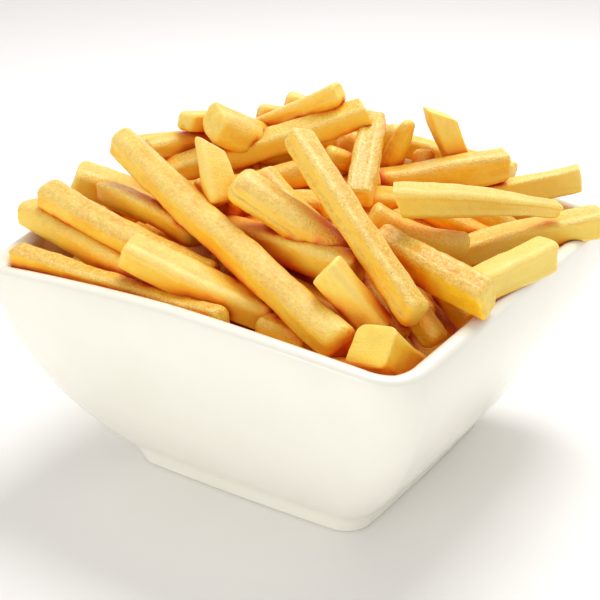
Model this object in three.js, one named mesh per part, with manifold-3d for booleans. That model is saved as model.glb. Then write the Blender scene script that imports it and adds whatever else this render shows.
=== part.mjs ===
// A portion of french fries heaped in a square glazed bowl.
// Millimetres, +Z up. The origin is the middle of the bowl's foot, on the surface it stands on.
// The bowl's four sides face -X, +X, -Y and +Y. Its rim arches up along each side and dips at the corners.
import * as THREE from 'three';
import { LoftGeometry } from 'three/addons/geometries/LoftGeometry.js';
import { mergeVertices } from 'three/addons/utils/BufferGeometryUtils.js';
import Module from 'manifold-3d';

// ---------------------------------------------------------------- driving sizes of the bowl
const RIM_HALF = 70;          // half of the width across the rim, measured at its corners
const RIM_BULGE = 2.8;        // how far each side bows out at its middle, at the rim
const FOOT_BULGE = 0.5;       // and at the foot
const RIM_CORNER = 13.4;      // corner radius of the rim's outer edge
const RIM_LEVEL = 68.7;       // height of the rim at its corners
const RIM_ARCH = 5.4;         // how much higher the rim is at the middle of a side
const ARCH_SHAPE = 1.67;      // power of that arch, from the middle of a side to its corner
const WALL_THICK = 5;         // thickness of the wall at the rim
const LIP_HIGH = 1.8;         // height of the rounded lip above the straight wall
const BASE_HALF = 39.7;       // half-width where the wall starts, above the foot
const BASE_CORNER = 6.6;      // corner radius there
const WALL_BELLY = 1.9;       // power of the wall's reach outward, from foot to rim
const WALL_RISE = 1.08;       // power of its rise
const FOOT_HALF = 40.5;       // half-width of the foot
const FOOT_CORNER = 8.2;      // corner radius of the foot
const FOOT_HIGH = 3.7;        // height of the foot
const FOOT_EDGE = 0.8;        // rounding of the foot's edges
const FOOT_RING = 5;          // width of the ring that the foot stands on
const RECESS = 1.8;           // depth of the hollow inside that ring
const FLOOR_LEVEL = 8.8;      // height of the floor inside the bowl
const FLOOR_HALF = 37.7;      // half-width of that floor
const FLOOR_CORNER = 6;       // corner radius of that floor
const SWELL = 0.3;            // how far the floor swells at its middle, on both faces
const SWELL_HALF = 20;        // half-width of the swell's flat top

// ---------------------------------------------------------------- driving sizes of the heap
const HEAP_TURN = THREE.MathUtils.degToRad(33);   // angle from the bowl's +X to the heap's "across"
const HEAP_EDGE = 66;         // height of the heap's surface where it meets the wall
const HEAP_RISE = 34;         // how far its middle stands above that
const HEAP_REACH = 68;        // half-width at which the heap is down to its edge height
const HEAP_SQUARE = 3;        // 2 would make the heap round in plan, more makes it squarer
const CORE_DEPTH = 15;        // the packed core lies this far below the heap's surface
const CORE_GAP = 0.7;         // gap between the packed core and the bowl
const FRY_GAP = 0.35;         // gap between any fry and the bowl

// ---------------------------------------------------------------- how finely the faces are cut
const SIDE_STEPS = 6;
const CORNER_STEPS = 5;
const OUTER_STEPS = 8;
const INNER_STEPS = 6;
const LIP_STEPS = 5;

// The bowl's wall runs between these two outlines outside, and between two others inside.
const OUTER_FOOT = { half: BASE_HALF, corner: BASE_CORNER, level: FOOT_HIGH };
const OUTER_RIM = { half: RIM_HALF, corner: RIM_CORNER, level: RIM_LEVEL - LIP_HIGH };
const INNER_FOOT = { half: FLOOR_HALF, corner: FLOOR_CORNER, level: FLOOR_LEVEL };
const INNER_RIM = {
  half: RIM_HALF - WALL_THICK,
  corner: RIM_CORNER - WALL_THICK,
  level: RIM_LEVEL - LIP_HIGH,
};

// ---------------------------------------------------------------- outlines

const CENTRE = new THREE.Vector2(0, 0);

// A rounded square with sides that bow out, counter-clockwise from above, arched along its sides.
function squareRing({ half, corner, level, bulge = FOOT_BULGE, arch = 0 }) {
  const straight = half - corner;
  const quarter = [];
  for (let i = 0; i < SIDE_STEPS; i += 1) {
    const along = (2 * i) / SIDE_STEPS - 1;
    quarter.push(new THREE.Vector2(along * straight, -half - bulge * (1 - along ** 2)));
  }
  for (let i = 0; i < CORNER_STEPS; i += 1) {
    const angle = (Math.PI / 2) * (i / CORNER_STEPS - 1);
    const bend = new THREE.Vector2(Math.cos(angle), Math.sin(angle)).multiplyScalar(corner);
    quarter.push(bend.add(new THREE.Vector2(straight, -straight)));
  }
  const ring = [];
  for (let side = 0; side < 4; side += 1) {
    for (const point of quarter) {
      const share = Math.min(Math.abs(point.x), Math.abs(point.y)) / half;
      const { x, y } = point.clone().rotateAround(CENTRE, (side * Math.PI) / 2);
      ring.push(new THREE.Vector3(x, y, level + arch * (1 - share ** ARCH_SHAPE)));
    }
  }
  return ring;
}

// One outline of the wall: climb is 0 at the foot and 1 at the rim, grow moves it outward.
function wallRing(foot, rim, climb, grow = 0) {
  const angle = (climb * Math.PI) / 2;
  const reach = Math.sin(angle) ** WALL_BELLY;
  const rise = 1 - Math.abs(Math.cos(angle)) ** WALL_RISE;
  return squareRing({
    half: THREE.MathUtils.lerp(foot.half, rim.half, reach) + grow,
    corner: THREE.MathUtils.lerp(foot.corner, rim.corner, reach) + grow,
    level: THREE.MathUtils.lerp(foot.level, rim.level, rise),
    bulge: THREE.MathUtils.lerp(FOOT_BULGE, RIM_BULGE, reach),
    arch: RIM_ARCH * climb ** 2,
  });
}

// The bowl's outlines, from the hollow under its foot, up the outside and down to the floor inside.
// grow thickens it all round, for cutting the food clear of it.
function bowlRings(grow = 0) {
  const rings = [];
  const footRing = (half, level) => squareRing({ half, corner: FOOT_CORNER, level });
  rings.push(footRing(SWELL_HALF, RECESS - SWELL));
  rings.push(footRing(FOOT_HALF - FOOT_RING - RECESS, RECESS));
  rings.push(footRing(FOOT_HALF - FOOT_RING, 0));
  rings.push(footRing(FOOT_HALF - FOOT_EDGE, 0));
  rings.push(footRing(FOOT_HALF, FOOT_EDGE));
  rings.push(footRing(FOOT_HALF, FOOT_HIGH - FOOT_EDGE));
  for (let i = 0; i <= OUTER_STEPS; i += 1) {
    rings.push(wallRing(OUTER_FOOT, OUTER_RIM, i / OUTER_STEPS, grow));
  }
  for (let i = 1; i < LIP_STEPS; i += 1) {
    const angle = (Math.PI * i) / LIP_STEPS;
    const inset = (WALL_THICK / 2) * (1 - Math.cos(angle)) - grow * Math.cos(angle);
    rings.push(squareRing({
      half: RIM_HALF - inset,
      corner: RIM_CORNER - inset,
      level: RIM_LEVEL - LIP_HIGH + (LIP_HIGH + grow) * Math.sin(angle),
      bulge: RIM_BULGE,
      arch: RIM_ARCH,
    }));
  }
  for (let i = INNER_STEPS; i >= 0; i -= 1) {
    rings.push(wallRing(INNER_FOOT, INNER_RIM, i / INNER_STEPS, -grow));
  }
  rings.push(squareRing({ half: SWELL_HALF, corner: FLOOR_CORNER, level: FLOOR_LEVEL + SWELL }));
  return rings;
}

// ---------------------------------------------------------------- solids

const wasm = await Module();
wasm.setup();

function closedGeometry(sections) {
  const loft = new LoftGeometry(sections, { capStart: true, capEnd: true });
  const geometry = new THREE.BufferGeometry();
  geometry.setAttribute('position', loft.attributes.position);
  geometry.setIndex(loft.index);
  return mergeVertices(geometry);
}

function toSolid(geometry) {
  return new wasm.Manifold(new wasm.Mesh({
    numProp: 3,
    vertProperties: new Float32Array(geometry.attributes.position.array),
    triVerts: new Uint32Array(geometry.index.array),
  }));
}

function toGeometry(solid) {
  const { vertProperties, triVerts } = solid.getMesh();
  const geometry = new THREE.BufferGeometry();
  geometry.setAttribute('position', new THREE.BufferAttribute(vertProperties, 3));
  geometry.setIndex(new THREE.BufferAttribute(triVerts, 1));
  return geometry;
}

// ---------------------------------------------------------------- the heap's surface

// Height of the heap's surface above the point (x, y) of the bowl.
function heapSurface(x, y) {
  const reach = Math.abs(x / HEAP_REACH) ** HEAP_SQUARE + Math.abs(y / HEAP_REACH) ** HEAP_SQUARE;
  return HEAP_EDGE + HEAP_RISE * (1 - reach ** (2 / HEAP_SQUARE));
}

// A place in the heap's own directions, across, back and up, as a point of the bowl.
function inBowl([across, back, up]) {
  return new THREE.Vector3(across, back, up).applyAxisAngle(new THREE.Vector3(0, 0, 1), HEAP_TURN);
}

// The packed middle of the heap, as one plain body that the fries are fused to.
const CORE_WALL = 0.8;        // share of the wall's climb that the core lies against
const CORE_WALL_STEPS = 4;
const CORE_DOME_HALVES = [59, 48, 35, 20, 7];
const CORE_DOME_CORNER = 0.3; // corner radius of the dome's outlines, as a share of their half-width

function coreGeometry() {
  const floor = { ...INNER_FOOT, level: INNER_FOOT.level + CORE_GAP };
  const rings = [];
  for (let i = 0; i <= CORE_WALL_STEPS; i += 1) {
    rings.push(wallRing(floor, INNER_RIM, (CORE_WALL * i) / CORE_WALL_STEPS, -CORE_GAP));
  }
  const shoulder = Math.max(...rings[rings.length - 1].map((point) => point.z));
  for (const half of CORE_DOME_HALVES) {
    const ring = squareRing({ half, corner: CORE_DOME_CORNER * half, level: 0 });
    for (const point of ring) {
      point.z = Math.max(heapSurface(point.x, point.y) - CORE_DEPTH, shoulder);
    }
    rings.push(ring);
  }
  return closedGeometry(rings);
}

// ---------------------------------------------------------------- one fry

const FRY_CHAMFER = 0.2;      // rounded-off long edges, as a share of the fry's thickness
const END_SHRINK = 0.84;      // a fry's end face against its body
const END_ROUND = 1.5;        // length over which the end rounds off
const SHAPED_STEPS = 3;       // stretches between the rounded ends of a bowed or tapered fry

// A fry runs from one end to the other, with its width level unless it is rolled.
// bow lifts its middle, and taperFrom and taperTo narrow its ends.
function fryGeometry({ from, to, wide, thick, roll = 0, bow = 0, taperFrom = 1, taperTo = 1 }) {
  const start = inBowl(from);
  const end = inBowl(to);
  const along = end.clone().sub(start);
  const length = along.length();
  along.normalize();
  const across = new THREE.Vector3(0, 0, 1).cross(along).normalize();
  across.applyAxisAngle(along, THREE.MathUtils.degToRad(roll));
  const up = along.clone().cross(across);
  const cut = FRY_CHAMFER * Math.min(wide, thick);
  const [w, t] = [wide / 2, thick / 2];
  const outline = [
    [w, cut - t], [w, t - cut], [w - cut, t], [cut - w, t],
    [-w, t - cut], [-w, cut - t], [cut - w, -t], [w - cut, -t],
  ];
  const steps = bow === 0 && taperFrom === 1 && taperTo === 1 ? 1 : SHAPED_STEPS;
  const stations = [0, END_ROUND];
  for (let i = 1; i < steps; i += 1) {
    stations.push(THREE.MathUtils.lerp(END_ROUND, length - END_ROUND, i / steps));
  }
  stations.push(length - END_ROUND, length);
  const sections = stations.map((reach) => {
    const share = reach / length;
    const atEnd = reach === 0 || reach === length;
    const narrowed = (1 - taperFrom) * (1 - share) ** 2 + (1 - taperTo) * share ** 2;
    const size = (1 - narrowed) * (atEnd ? END_SHRINK : 1);
    const middle = start.clone().addScaledVector(along, reach);
    middle.z += bow * 4 * share * (1 - share);
    return outline.map(([side, top]) => middle.clone()
      .addScaledVector(across, side * size)
      .addScaledVector(up, top * size));
  });
  return closedGeometry(sections);
}

// ---------------------------------------------------------------- the fries that are laid by hand

// Ends are [across, back, up]: across runs to the right as seen from the bowl's +X -Y corner,
// back runs away from that corner.
const LAID_FRIES = [
  // over the left half
  { from: [-55.5, 6, 96], to: [7, -72, 68], wide: 10.5, thick: 10, roll: 12, taperFrom: 0.85 },
  { from: [-78, -3, 85], to: [-27, -40, 73], wide: 10.5, thick: 10 },
  { from: [-84, 1, 77], to: [-42, -36, 68], wide: 11, thick: 10 },
  { from: [-82.5, -17, 70], to: [-23, -54, 68.5], wide: 9, thick: 8 },
  { from: [-51, -37, 81], to: [-10, -50, 67], wide: 11.5, thick: 9, roll: 10 },
  { from: [-62, 6, 79.5], to: [-32, -24, 76], wide: 9.5, thick: 9, bow: 1.5 },
  { from: [-72, 10, 84.5], to: [-40, 8, 71], wide: 11, thick: 10.5 },
  { from: [-33, -6, 87], to: [-20, -18, 84], wide: 9, thick: 9 },
  { from: [-59, 50, 80], to: [-12, 37, 88], wide: 9.5, thick: 9 },
  // along the ridge, from left to right
  { from: [-50, 14, 91], to: [-27, 28, 91], wide: 8.5, thick: 8, roll: 10 },
  { from: [-39, 18, 99], to: [-24, 30, 96], wide: 9, thick: 7 },
  { from: [-30, 9, 102], to: [2, 40, 79], wide: 13, thick: 12, roll: 20 },
  { from: [-30, -9, 104], to: [-25, -22, 87], wide: 10, thick: 8, taperFrom: 0.5 },
  { from: [-45, 12, 82], to: [17, 18, 102], wide: 9.5, thick: 9, roll: 10 },
  { from: [-25, 34, 88], to: [9, 19, 108], wide: 8.5, thick: 8 },
  { from: [-17, 34, 97], to: [3, 40, 92], wide: 8, thick: 7 },
  { from: [-9, 33, 101], to: [12, 38, 93], wide: 8, thick: 8 },
  { from: [3, 8, 92], to: [18, 12, 85], wide: 9, thick: 8 },
  { from: [8, 26, 91], to: [21, 30, 85], wide: 8, thick: 8 },
  { from: [21, 25, 98], to: [16, -12, 81], wide: 10, thick: 9 },
  { from: [29.5, 21, 99], to: [21, 23, 76], wide: 11.5, thick: 9, taperFrom: 0.6 },
  { from: [35, 26, 88], to: [33, 20, 78], wide: 8, thick: 8 },
  { from: [38, 24, 100], to: [49, 26, 74], wide: 11, thick: 8 },
  // down the middle, towards the near corner
  { from: [-5, -20, 107], to: [26, -66, 73], wide: 10.2, thick: 9.5, roll: -12 },
  { from: [-22, -26, 96], to: [9, -41, 79], wide: 11, thick: 10.5 },
  { from: [-15, -10, 92], to: [8, -30, 76], wide: 9, thick: 9 },
  { from: [-27, -18, 79], to: [12, -50, 79], wide: 10.5, thick: 10 },
  { from: [2, -59, 85], to: [17, -62, 68], wide: 9, thick: 9, roll: 10 },
  { from: [9, -78, 75], to: [25, -76, 67], wide: 9, thick: 12, roll: -10, taperTo: 0.9 },
  { from: [2, -73, 62], to: [24, -71, 61], wide: 9, thick: 9 },
  { from: [-15, -55, 67], to: [-1, -63, 64], wide: 8, thick: 8 },
  { from: [22, -50, 74], to: [32, -62, 64], wide: 8.5, thick: 8 },
  { from: [11, -38, 75], to: [23, -56, 63], wide: 9, thick: 9 },
  // over the right half
  { from: [16.5, -35.5, 82.5], to: [44.5, -66, 78], wide: 11, thick: 10, roll: 10 },
  { from: [33, -39, 71], to: [42, -45, 62], wide: 9, thick: 8 },
  { from: [15, -26, 86], to: [43.5, -27.5, 77], wide: 10.5, thick: 10, bow: -3 },
  { from: [20, -38, 95], to: [71, -5, 79], wide: 10.5, thick: 9.5, roll: 15, taperTo: 0.3 },
  { from: [15, 12, 80], to: [58, 16, 85], wide: 11.5, thick: 10.5 },
  { from: [51, 17, 76], to: [82, 16, 82], wide: 8.5, thick: 8 },
  { from: [30, -22, 69.5], to: [85, -5, 76.5], wide: 10.5, thick: 9.5 },
  { from: [40.5, -56, 77.5], to: [64.5, -33, 78], wide: 9.5, thick: 9 },
  { from: [73, 24, 71], to: [54, 20, 60], wide: 8, thick: 8 },
];

// ---------------------------------------------------------------- the fries that fall where they may

const SEED = 1555;
const DROP_LENGTH = [34, 76];   // shortest and longest
const DROP_SIZE = [8, 11];      // thinnest and thickest
const DROP_ACROSS = [-80, 80];  // where their middles may lie to either side
const WALL_ROOM = 5;            // their ends' middles stay this far inside the bowl's wall
const LIFT_STEP = 1;            // they settle in steps of this height
// back is where their middles may lie, lift how high they may settle against the heap's surface,
// and nestle how far two fries may press into each other, as a share of their size
const DROPS = [
  { tries: 1200, back: [-90, 90], lift: [-17, -10], nestle: 0.6 },   // beneath the laid fries
  { tries: 4000, back: [24, 92], lift: [-4, 8], nestle: 0.8 },       // the back of the heap
];
const RIDGE_HIGH = 100;         // the ridge that the back of the heap falls away from
const RIDGE_FALL = 0.0036;      // its fall to either side, per square millimetre
const RIDGE_BACK = 15;          // how far back it lies
const BACK_SLOPE = 0.3;         // fall of the back of the heap behind it

let drawn = SEED;

// The next number of a fixed series, between low and high.
function draw(low, high) {
  drawn = (drawn * 16807) % 2147483647;
  return low + ((high - low) * drawn) / 2147483647;
}

// Smallest distance between the centre lines of two fries.
function lineDistance(one, other) {
  const [p, q] = [new THREE.Vector3(...one.from), new THREE.Vector3(...other.from)];
  const u = new THREE.Vector3(...one.to).sub(p);
  const v = new THREE.Vector3(...other.to).sub(q);
  const apart = p.clone().sub(q);
  const [uu, uv, vv] = [u.dot(u), u.dot(v), v.dot(v)];
  const [ud, vd] = [u.dot(apart), v.dot(apart)];
  const flat = uu * vv - uv * uv;
  let s = THREE.MathUtils.clamp((uv * vd - vv * ud) / flat, 0, 1);
  const t = THREE.MathUtils.clamp((uv * s + vd) / vv, 0, 1);
  s = THREE.MathUtils.clamp((uv * t - ud) / uu, 0, 1);
  return apart.addScaledVector(u, s).addScaledVector(v, -t).length();
}

function clearOf(fry, others, nestle) {
  return others.every((other) => {
    const room = (nestle * (fry.wide + fry.thick + other.wide + other.thick)) / 4;
    return lineDistance(fry, other) >= room;
  });
}

function belowRidge([across, back, up]) {
  return up < RIDGE_HIGH - RIDGE_FALL * across ** 2 - BACK_SLOPE * (back - RIDGE_BACK);
}

// Whether a place keeps clear of the bowl's inner wall, which narrows towards the floor.
function insideWalls(place) {
  const { x, y, z } = inBowl(place);
  const depth = THREE.MathUtils.clamp((z - INNER_FOOT.level) / (INNER_RIM.level - INNER_FOOT.level), 0, 1);
  const angle = Math.acos((1 - depth) ** (1 / WALL_RISE));
  const reach = Math.sin(angle) ** WALL_BELLY;
  const corner = THREE.MathUtils.lerp(INNER_FOOT.corner, INNER_RIM.corner, reach);
  const straight = THREE.MathUtils.lerp(INNER_FOOT.half, INNER_RIM.half, reach) - corner;
  const past = [Math.abs(x) - straight, Math.abs(y) - straight];
  const beyond = Math.hypot(...past.map((value) => Math.max(value, 0)));
  return beyond + Math.min(Math.max(...past), 0) < corner - WALL_ROOM;
}

function surfaceAt([across, back]) {
  const { x, y } = inBowl([across, back, 0]);
  return heapSurface(x, y);
}

// Tries one fry at a drawn place, lying along the heap's surface. It is kept at the lowest height
// where it is clear of those before it.
function dropFry(heap, drop) {
  const [across, back] = [draw(...DROP_ACROSS), draw(...drop.back)];
  const [heading, reach] = [draw(0, Math.PI), draw(...DROP_LENGTH) / 2];
  const [wide, thick, roll] = [draw(...DROP_SIZE), draw(...DROP_SIZE), draw(-20, 20)];
  const step = [reach * Math.cos(heading), reach * Math.sin(heading)];
  const ends = [[across - step[0], back - step[1]], [across + step[0], back + step[1]]];
  for (let lift = drop.lift[0]; lift <= drop.lift[1]; lift += LIFT_STEP) {
    const [from, to] = ends.map((end) => [...end, surfaceAt(end) + lift]);
    const middle = [across, back, (from[2] + to[2]) / 2];
    const fry = { from, to, wide, thick, roll };
    if (![from, to, middle].every(belowRidge)) return;
    if ([from, to].every(insideWalls) && clearOf(fry, heap, drop.nestle)) {
      heap.push(fry);
      return;
    }
  }
}

function allFries() {
  const heap = [...LAID_FRIES];
  for (const drop of DROPS) {
    for (let i = 0; i < drop.tries; i += 1) {
      dropFry(heap, drop);
    }
  }
  return heap;
}

// ---------------------------------------------------------------- the two nodes

function heapGeometry() {
  let heap = toSolid(coreGeometry());
  for (const fry of allFries()) {
    heap = heap.add(toSolid(fryGeometry(fry)));
  }
  heap = heap.subtract(toSolid(closedGeometry(bowlRings(FRY_GAP))));
  const pieces = heap.decompose().sort((a, b) => b.volume() - a.volume());
  return toGeometry(pieces[0]);
}

const glaze = new THREE.MeshStandardMaterial({ color: 0xf6f3ea, roughness: 0.2, metalness: 0 });
const crust = new THREE.MeshStandardMaterial({ color: 0xe9b44a, roughness: 0.6, metalness: 0 });

const bowl = new THREE.Mesh(closedGeometry(bowlRings()), glaze);
bowl.name = 'bowl';

const fries = new THREE.Mesh(heapGeometry(), crust);
fries.name = 'fries';

const portion = new THREE.Group();
portion.add(bowl, fries);

export default portion;
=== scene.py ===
# %% [markdown]
# # A bowl of french fries
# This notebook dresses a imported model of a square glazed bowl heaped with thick-cut fries. The packed
# model is plain and faceted. Here every fry gets its own rounded, slightly crooked shape and a fried
# crust, and the bowl gets a smooth glaze. Both could be sculpted by hand. Instead everything is built
# by short functions from the same named sizes as the plain model, so that nothing has to be fitted
# afterwards.

import math

import bpy
import numpy as np
from mathutils import Matrix, Vector
from mathutils.bvhtree import BVHTree


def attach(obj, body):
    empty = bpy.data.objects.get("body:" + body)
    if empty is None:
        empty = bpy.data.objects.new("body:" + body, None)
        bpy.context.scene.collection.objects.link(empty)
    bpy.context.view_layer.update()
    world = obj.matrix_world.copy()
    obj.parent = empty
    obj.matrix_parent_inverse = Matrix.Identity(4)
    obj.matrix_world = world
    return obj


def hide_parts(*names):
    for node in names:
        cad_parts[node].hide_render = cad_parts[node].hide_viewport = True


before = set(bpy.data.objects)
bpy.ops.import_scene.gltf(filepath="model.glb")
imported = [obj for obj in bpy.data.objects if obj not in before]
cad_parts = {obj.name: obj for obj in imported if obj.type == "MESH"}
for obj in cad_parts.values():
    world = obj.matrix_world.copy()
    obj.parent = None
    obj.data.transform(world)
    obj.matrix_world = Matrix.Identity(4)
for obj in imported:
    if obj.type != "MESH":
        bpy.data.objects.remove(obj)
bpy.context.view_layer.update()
MM = 0.001

# %% [markdown]
# ## Camera
# Food is often shot with a long lens from a little above the table. A long lens keeps the bowl's
# sides nearly parallel. The camera looks at the bowl's near corner, so that two of its sides show. It
# could be placed by eye in the viewport, but a turn and a height in degrees are easier to read and to
# change, so its place is worked out from them.

# %% Camera
TURN = math.radians(32.9)      # from the front, towards +X
HEIGHT = math.radians(24.7)    # above the horizon
DISTANCE = 410
LOOK_AT_UP = 48.3
LOOK_AT_RIGHT = -3.8
LENS = 81.1

back = Vector((math.sin(TURN) * math.cos(HEIGHT), -math.cos(TURN) * math.cos(HEIGHT), math.sin(HEIGHT)))
right = Vector((math.cos(TURN), math.sin(TURN), 0))
target = right * LOOK_AT_RIGHT + Vector((0, 0, LOOK_AT_UP))
camera = bpy.data.objects.new("camera", bpy.data.cameras.new("camera"))
camera.data.lens = LENS
camera.data.clip_start, camera.data.clip_end = 0.01, 20
camera.location = (target + back * DISTANCE) * MM
camera.rotation_mode = "QUATERNION"
camera.rotation_quaternion = (-back).to_track_quat("-Z", "Y")
bpy.context.collection.objects.link(camera)
bpy.context.scene.camera = camera
print("camera at", [round(v, 3) for v in camera.location])

# %% [markdown]
# ## Light
# A high-key table shot has light from all round. One strong lamp would give hard shadows and dull
# sides, so here a big soft box hangs overhead, a little behind the food, a weaker one stands low in
# front, and the room is white. The overhead box draws pale tops on the fries and a soft shadow beside
# the bowl. The colour transform is the plain one, because the filmic one turns clean yellows grey.

# %% Light
def soft_box(name, place, size, power, aim=(0, 0, 50)):
    """A square area light at a place in millimetres, turned to its aim."""
    data = bpy.data.lights.new(name, "AREA")
    data.size = size * MM
    data.energy = power
    box = bpy.data.objects.new(name, data)
    box.location = Vector(place) * MM
    box.rotation_mode = "QUATERNION"
    box.rotation_quaternion = (Vector(aim) - Vector(place)).to_track_quat("-Z", "Y")
    bpy.context.collection.objects.link(box)
    return box


soft_box("overhead", (-24, 258, 640), 380, 3.5)
soft_box("front", (-60, -770, 80), 420, 1.6)

room = bpy.data.worlds.new("white_room")
bpy.context.scene.world = room
room.use_nodes = True
bpy.context.scene.view_settings.view_transform = "Standard"

# %% [markdown]
# ## Helpers for meshes and shaders
# A mesh is made from arrays of points and faces, and it can carry its own numbers, called attributes,
# which a material reads later. Shader nodes could be placed by hand in the editor. Here each is
# placed with one short call, which sets the fixed values and links the others, so that a material
# reads from top to bottom.

# %% Mesh and shader helpers
def make_piece(name, points, faces, material, node, slot, **attributes):
    """A smooth mesh from points in millimetres. It stands for a node of the plain model."""
    mesh = bpy.data.meshes.new(name)
    mesh.from_pydata((np.asarray(points) * MM).tolist(), [], faces)
    mesh.polygons.foreach_set("use_smooth", [True] * len(mesh.polygons))
    for key, values in attributes.items():
        values = np.asarray(values, dtype=np.float32)
        kind, field = ("FLOAT_VECTOR", "vector") if values.ndim == 2 else ("FLOAT", "value")
        mesh.attributes.new(key, kind, "POINT").data.foreach_set(field, values.ravel())
    mesh.materials.append(material)
    mesh.validate()
    piece = bpy.data.objects.new(name, mesh)
    bpy.context.collection.objects.link(piece)
    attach(piece, "root")
    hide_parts(node)
    triangles = sum(len(p.vertices) - 2 for p in mesh.polygons)
    print(f"{name}: {len(mesh.vertices)} points, {triangles} triangles")
    return piece


def add_node(tree, kind, links=(), **values):
    """One shader node. links are (socket, output) pairs, values are sockets or settings by name."""
    node = tree.nodes.new(kind)
    for key, value in values.items():
        label = key.replace("_", " ")
        if hasattr(node, key) and label not in node.inputs:
            setattr(node, key, value)
        else:
            node.inputs[label].default_value = value
    for socket, output in links:
        tree.links.new(output, node.inputs[socket])
    return node


def plug(tree, socket, value):
    """Gives a socket a fixed value, or links an output to it."""
    if isinstance(value, (float, tuple)):
        socket.default_value = value
    else:
        tree.links.new(value, socket)


def times(tree, first, second):
    """The product of two masks. Each is an output or a number."""
    node = add_node(tree, "ShaderNodeMath", operation="MULTIPLY")
    plug(tree, node.inputs[0], first)
    plug(tree, node.inputs[1], second)
    return node.outputs[0]


def times_plus(tree, value, slope, start):
    """A value times a slope, plus a start. Each is an output or a number."""
    node = add_node(tree, "ShaderNodeMath", operation="MULTIPLY_ADD")
    for socket, amount in zip(node.inputs, (value, slope, start)):
        plug(tree, socket, amount)
    return node.outputs[0]


def soft_step(tree, value, start, finish):
    """A mask that is 0 at start and 1 at finish, with no hard corner between."""
    node = add_node(tree, "ShaderNodeMapRange", interpolation_type="SMOOTHSTEP", links=[("Value", value)])
    node.inputs["From Min"].default_value, node.inputs["From Max"].default_value = start, finish
    return node.outputs["Result"]


MIX_FACTOR, MIX_FIRST, MIX_SECOND, MIX_RESULT = 0, 6, 7, 2   # the sockets of a Mix node set to colours


def mix_colours(tree, first, second, mask, strength=1.0):
    """Mixes two colours by a mask. A colour is an output or linear values."""
    mix = add_node(tree, "ShaderNodeMix", data_type="RGBA")
    plug(tree, mix.inputs[MIX_FACTOR], times(tree, mask, strength))
    plug(tree, mix.inputs[MIX_FIRST], first)
    plug(tree, mix.inputs[MIX_SECOND], second)
    return mix.outputs[MIX_RESULT]


def new_material(name, **values):
    """A material with one Principled BSDF, whose fixed sockets are given by name."""
    material = bpy.data.materials.new(name)
    material.use_nodes = True
    shader = material.node_tree.nodes["Principled BSDF"]
    for key, value in values.items():
        shader.inputs[key.replace("_", " ")].default_value = value
    return material, material.node_tree, shader


def linear(*colour):
    """A colour as seen on screen, 0 to 255, as the linear values that a shader takes."""
    share = [c / 255 for c in colour]
    return tuple(c / 12.92 if c < 0.04045 else ((c + 0.055) / 1.055) ** 2.4 for c in share) + (1.0,)


print("a golden fry in linear values:", [round(v, 3) for v in linear(236, 178, 62)])

# %% [markdown]
# ## The white room
# The walls of a studio stand all round the table, and only a dim ceiling is above it. A plain
# white world would light everything alike, so this one is brightest near the horizon. Such light
# comes in sideways: it reaches the steep sides of the bowl, also low down, and leaves the floor
# beside it darker.

# %% White room
WALLS, CEILING = 1.15, 0.56
sky = room.node_tree
up = add_node(sky, "ShaderNodeSeparateXYZ",
              links=[("Vector", sky.nodes.new("ShaderNodeTexCoord").outputs["Generated"])]).outputs["Z"]
high = soft_step(sky, up, 0.1, 0.6)
level = add_node(sky, "ShaderNodeMapRange", To_Min=WALLS, To_Max=CEILING, links=[("Value", high)])
sky.nodes["Background"].inputs["Color"].default_value = (1.0, 0.985, 0.965, 1)
sky.links.new(level.outputs["Result"], sky.nodes["Background"].inputs["Strength"])
print("room:", WALLS, "at the horizon,", CEILING, "above")

# %% [markdown]
# ## Mottle, shared by crust, glaze and floor
# Nothing real has one flat colour. Potato browns in patches, and even a good glaze pools a little. A
# painted image could show that, but noise has no seams and stays sharp at any size. One node group
# makes the unevenness: two noises of different size, mixed, and spread between two limits. It is
# built once, and each material gives it its own patch size.

# %% Mottle group
def group_with(name, inputs, outputs):
    """An empty node group with named number, colour or vector sockets."""
    group = bpy.data.node_groups.new(name, "ShaderNodeTree")
    for side, sockets in (("INPUT", inputs), ("OUTPUT", outputs)):
        for label, (kind, value) in sockets.items():
            socket = group.interface.new_socket(name=label, in_out=side, socket_type=f"NodeSocket{kind}")
            if value is not None:
                socket.default_value = value
    return group, group.nodes.new("NodeGroupInput"), group.nodes.new("NodeGroupOutput")


mottle, given, made = group_with(
    "mottle",
    {"Place": ("Vector", None), "Patches": ("Float", 120.0), "Specks": ("Float", 600.0),
     "Low": ("Float", 0.35), "High": ("Float", 0.65)},
    {"Mask": ("Float", None)},
)
patches = add_node(mottle, "ShaderNodeTexNoise", Detail=3.0,
                   links=[("Vector", given.outputs["Place"]), ("Scale", given.outputs["Patches"])])
specks = add_node(mottle, "ShaderNodeTexNoise", Detail=4.0, Roughness=0.6,
                  links=[("Vector", given.outputs["Place"]), ("Scale", given.outputs["Specks"])])
both = add_node(mottle, "ShaderNodeMix", Factor=0.35,
                links=[("A", patches.outputs["Fac"]), ("B", specks.outputs["Fac"])])
spread = add_node(mottle, "ShaderNodeMapRange", interpolation_type="SMOOTHSTEP",
                  links=[("Value", both.outputs["Result"]), ("From Min", given.outputs["Low"]),
                         ("From Max", given.outputs["High"])])
mottle.links.new(spread.outputs["Result"], made.inputs["Mask"])
print("mottle sockets:", [i.name for i in mottle.interface.items_tree])

# %% [markdown]
# ## Blisters
# Hot oil drives steam out of a potato and lifts its skin into small blisters with smooth tops and
# fine wrinkles between them. They are less than a millimetre wide, too small to model one by one, so
# they are a height for a Bump node. Cells from a Voronoi texture give the blisters, and a noise
# breaks them up. They are a group of their own, so that another fried food can use them.

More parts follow.
